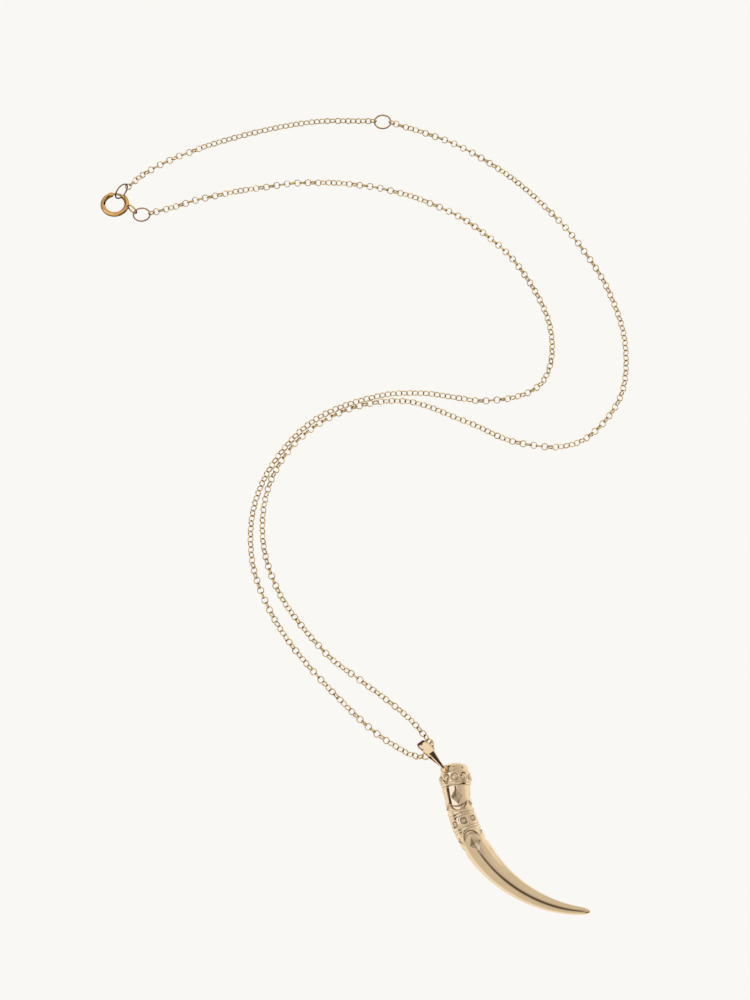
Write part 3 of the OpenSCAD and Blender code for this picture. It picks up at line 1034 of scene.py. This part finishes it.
@dataclass(frozen=True)
class SkyPatch:
    """A soft-edged panel of the studio, by its direction and half sizes in degrees."""

    turn: float
    rise: float
    wide: float
    high: float
    soft: float
    colour: Point

    def paint(self, w: Wiring, ray: Socket, under: object) -> Socket:
        """Lays the panel over what is painted so far.

        Args:
            w: The world's wiring.
            ray: The direction looked along.
            under: The colour so far.

        Returns:
            The colour with the panel.
        """
        turn, rise = math.radians(self.turn), math.radians(self.rise)
        level = math.cos(rise)
        out = Vector((level * math.cos(turn), level * math.sin(turn), math.sin(rise)))
        side = Vector((-math.sin(turn), math.cos(turn), 0.0))
        ahead, left, up = (w.dot(ray, axis) for axis in (out, side, out.cross(side)))
        masks = []
        for part, half in ((left, self.wide), (up, self.high)):
            angle = w.math("ABSOLUTE", w.math("ARCTAN2", part, ahead))
            inside, outside = math.radians(half - self.soft), math.radians(half + self.soft)
            masks.append(w.ramp(angle, inside, outside, 1.0, 0.0))
        return w.blend(w.math("MULTIPLY", *masks), under, (*self.colour, 1.0))


@dataclass
class Studio:
    """The pale surface, the soft studio round it and the camera at the photograph's angle.

    The surface's reach and drop, the camera's place and its clips are in metres. The drop keeps
    the surface clear of the pieces that lie on it.
    """

    floor_colour: Point = (0.956, 0.939, 0.905)
    floor_matt: Point = (0.85, 0.85, 0.85)
    floor_reach: float = 3.0
    floor_drop: float = 0.00002
    bounce: float = 0.45
    tent: Point = (0.68, 0.645, 0.57)
    patches: tuple[SkyPatch, ...] = (
        SkyPatch(15, 10, 25, 10, 5, (0.90, 0.86, 0.78)),
        SkyPatch(30, 68, 25, 16, 10, (0.57, 0.515, 0.55)),
        SkyPatch(320, 19, 28, 18, 5, (0.07, 0.052, 0.035)),
        SkyPatch(180, 54, 11.5, 32, 2.5, (1.05, 1.12, 1.28)),
        SkyPatch(151, 15, 32.5, 16, 2, (0.04, 0.033, 0.025)),
        SkyPatch(108, 57, 5, 6, 1.5, (0.05, 0.04, 0.03)),
        SkyPatch(268, 72, 6, 6, 3, (0.12, 0.10, 0.07)),
    )
    eye: Point = (0.0024, -0.13851, 0.37467)
    tip: float = 20.1
    lens: float = 89.42
    sensor: float = 36.0
    clips: Pair = (0.01, 10.0)

    def world(self) -> None:
        """Paints the studio that the gold reflects, with a plain pale backdrop behind it."""
        world = bpy.data.worlds.new("soft_studio")
        bpy.context.scene.world = world
        world.use_nodes = True
        w = Wiring(world.node_tree)
        ray = w.add("ShaderNodeTexCoord").outputs["Generated"]
        colour = (*self.tent, 1.0)
        for patch in self.patches:
            colour = patch.paint(w, ray, colour)
        seen = w.add("ShaderNodeLightPath").outputs["Is Camera Ray"]
        colour = w.blend(seen, colour, (*self.floor_colour, 1.0))
        back = w.add("ShaderNodeBackground", {"Color": colour})
        w.add("ShaderNodeOutputWorld", {"Surface": back.outputs["Background"]})

    def floor(self) -> None:
        """Makes the pale surface, even to the eye, while the gold mirrors its soft shadows."""
        reach, under = self.floor_reach, -self.floor_drop
        corners = [(-reach, -reach, under), (reach, -reach, under), (reach, reach, under),
                   (-reach, reach, under)]
        mesh = make_mesh("pale_surface", np.array(corners), [[0, 1, 2, 3]])
        material = bpy.data.materials.new("pale_surface")
        material.use_nodes = True
        w = Wiring(material.node_tree)
        even = w.add("ShaderNodeEmission", {"Color": (*self.floor_colour, 1.0)})
        glow = tuple(channel * self.bounce for channel in self.floor_colour)
        lift = w.add("ShaderNodeEmission", {"Color": (*glow, 1.0)})
        matt = w.add("ShaderNodeBsdfDiffuse", {"Color": (*self.floor_matt, 1.0)})
        both = w.add("ShaderNodeAddShader", {0: lift.outputs[0], 1: matt.outputs[0]})
        seen = w.add("ShaderNodeLightPath").outputs["Is Camera Ray"]
        pick = w.add("ShaderNodeMixShader", {0: seen, 1: both.outputs[0], 2: even.outputs[0]})
        w.add("ShaderNodeOutputMaterial", {"Surface": pick.outputs[0]})
        mesh.materials.append(material)
        floor = show("pale_surface", mesh)

    def camera(self) -> None:
        """Stands the camera where the photograph was taken from."""
        data = bpy.data.cameras.new("camera")
        data.lens = self.lens
        data.sensor_width = self.sensor
        data.clip_start, data.clip_end = self.clips
        camera = show("camera", data)
        camera.location = self.eye
        camera.rotation_euler = (math.radians(self.tip), 0.0, 0.0)
        bpy.context.scene.camera = camera


def main() -> None:
    """Builds the studio and every piece."""
    logging.basicConfig(level=logging.INFO, format="%(name)s %(message)s")
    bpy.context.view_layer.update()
    bpy.context.scene.view_settings.view_transform = "Standard"
    studio = Studio()
    studio.camera()
    studio.floor()
    studio.world()
    BelcherChain(CHAIN_GOLD.build()).build()
    pale = PALE_GOLD.build()
    Tusk(pale).build()
    Bail(pale).build()
    Fittings(RING_GOLD.build(), CASE_GOLD.build(), BOLT_GOLD.build()).dress()


if __name__ == "__main__":
    main()
